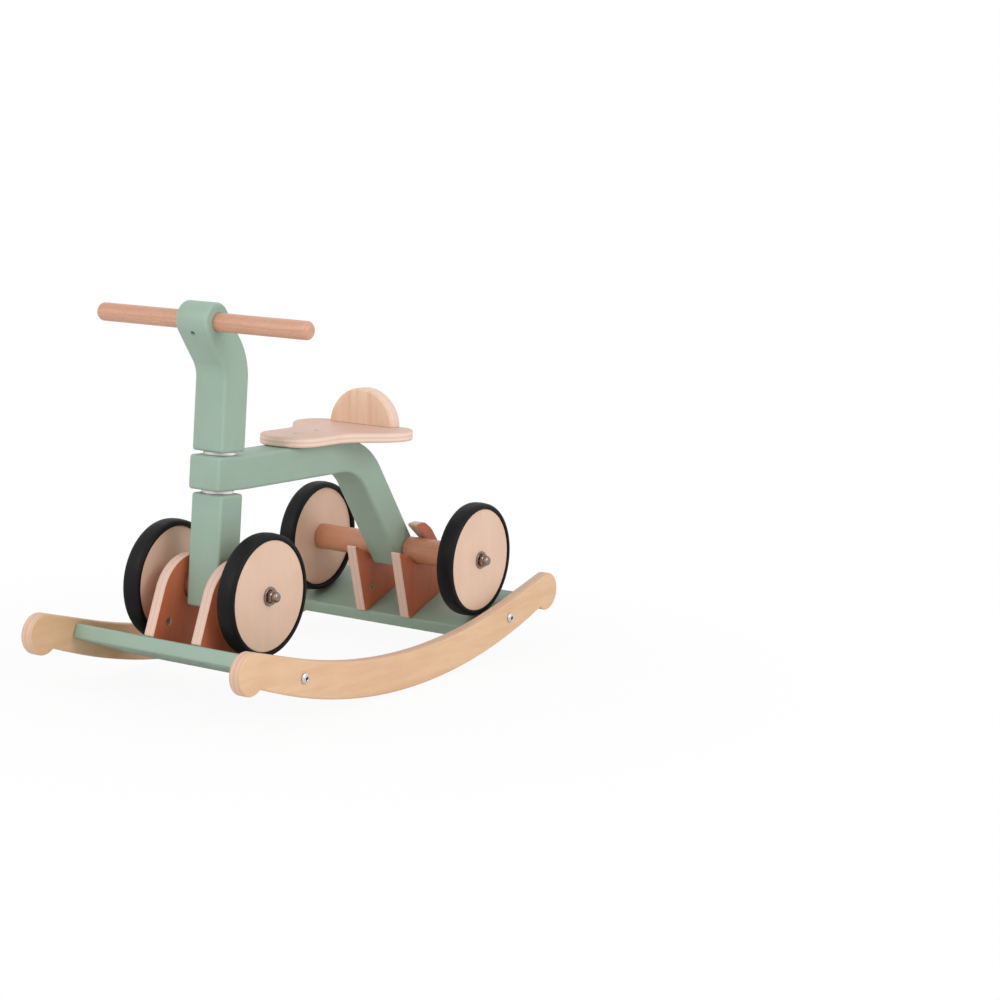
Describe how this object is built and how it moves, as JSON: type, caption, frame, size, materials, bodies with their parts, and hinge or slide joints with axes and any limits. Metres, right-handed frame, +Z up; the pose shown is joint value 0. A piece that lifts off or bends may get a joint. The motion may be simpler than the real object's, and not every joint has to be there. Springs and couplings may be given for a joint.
{
  "type": "rocker",
  "caption": "Wooden ride-on toy with a seat, handlebar and four wheels, docked by its axles in a rocker base with two curved runners.",
  "frame": {"origin": "on the floor under the middle of the rocker base, halfway between the two axles", "axes": "+Z up, -Y the way the rider looks, +X the rider's left"},
  "size_m": [0.3476, 0.7296, 0.4961],
  "materials": {
    "sage_paint": "satin sage green paint on wood",
    "birch_ply": "clear satin lacquer on birch plywood",
    "runner_wood": "clear satin lacquer",
    "beech_dowel": "clear satin lacquer on beech",
    "tyre_rubber": "matt black rubber",
    "plated_steel": "bright plated",
    "white_plastic": "smooth white"
  },
  "bodies": {
    "rocker": {"runner_left": "runner_wood", "runner_right": "runner_wood", "front_board": "sage_paint", "rear_board": "sage_paint", "cradle_front_left": "birch_ply", "cradle_front_right": "birch_ply", "cradle_rear_left": "birch_ply", "cradle_rear_right": "birch_ply", "runner_bolt_front_left": "plated_steel", "runner_bolt_front_right": "plated_steel", "runner_bolt_rear_left": "plated_steel", "runner_bolt_rear_right": "plated_steel", "board_nut_front_left": "plated_steel", "board_nut_front_right": "plated_steel", "board_nut_rear_left": "plated_steel", "board_nut_rear_right": "plated_steel", "cradle_bolt_front_left": "plated_steel", "cradle_bolt_front_right": "plated_steel", "cradle_bolt_rear_left": "plated_steel", "cradle_bolt_rear_right": "plated_steel", "cradle_nut_front_left": "plated_steel", "cradle_nut_front_right": "plated_steel", "cradle_nut_rear_left": "plated_steel", "cradle_nut_rear_right": "plated_steel", "frame": "sage_paint", "seat": "birch_ply", "seat_screw_front": "plated_steel", "seat_screw_rear": "plated_steel", "back_rest": "birch_ply", "back_rest_screw_left": "plated_steel", "back_rest_screw_right": "plated_steel", "steering_glide_lower": "white_plastic", "steering_glide_upper": "white_plastic", "rear_axle_rod": "plated_steel", "rear_axle_spacer_left": "beech_dowel", "rear_axle_spacer_right": "beech_dowel", "hub_washer_rear_left": "plated_steel", "hub_washer_rear_right": "plated_steel", "cap_nut_rear_left": "plated_steel", "cap_nut_rear_right": "plated_steel"},
    "steering": {"fork": "sage_paint", "stem": "sage_paint", "steering_pivot": "plated_steel", "handlebar": "beech_dowel", "handlebar_lock_screw": "plated_steel", "front_axle_rod": "plated_steel", "front_axle_spacer_left": "beech_dowel", "front_axle_spacer_right": "beech_dowel", "hub_washer_front_left": "plated_steel", "hub_washer_front_right": "plated_steel", "cap_nut_front_left": "plated_steel", "cap_nut_front_right": "plated_steel"},
    "front_left_wheel": {"wheel_disc_front_left": "birch_ply", "tyre_front_left": "tyre_rubber"},
    "front_right_wheel": {"wheel_disc_front_right": "birch_ply", "tyre_front_right": "tyre_rubber"},
    "rear_left_wheel": {"wheel_disc_rear_left": "birch_ply", "tyre_rear_left": "tyre_rubber"},
    "rear_right_wheel": {"wheel_disc_rear_right": "birch_ply", "tyre_rear_right": "tyre_rubber"}
  },
  "joints": [
    {"name": "steering", "type": "hinge", "parent": "rocker", "child": "steering", "pos_m": [0, -0.20319, 0.13772], "axis": [0, 0.0419, 0.9991], "range_deg": [-4, 4]},
    {"name": "front_left_wheel_spin", "type": "hinge", "parent": "steering", "child": "front_left_wheel", "pos_m": [0.0757, -0.198, 0.1375], "axis": [1, 0, 0], "continuous": true},
    {"name": "front_right_wheel_spin", "type": "hinge", "parent": "steering", "child": "front_right_wheel", "pos_m": [-0.0757, -0.198, 0.1375], "axis": [1, 0, 0], "continuous": true},
    {"name": "rear_left_wheel_spin", "type": "hinge", "parent": "rocker", "child": "rear_left_wheel", "pos_m": [0.1338, 0.198, 0.1375], "axis": [1, 0, 0], "continuous": true},
    {"name": "rear_right_wheel_spin", "type": "hinge", "parent": "rocker", "child": "rear_right_wheel", "pos_m": [-0.1338, 0.198, 0.1375], "axis": [1, 0, 0], "continuous": true}
  ]
}
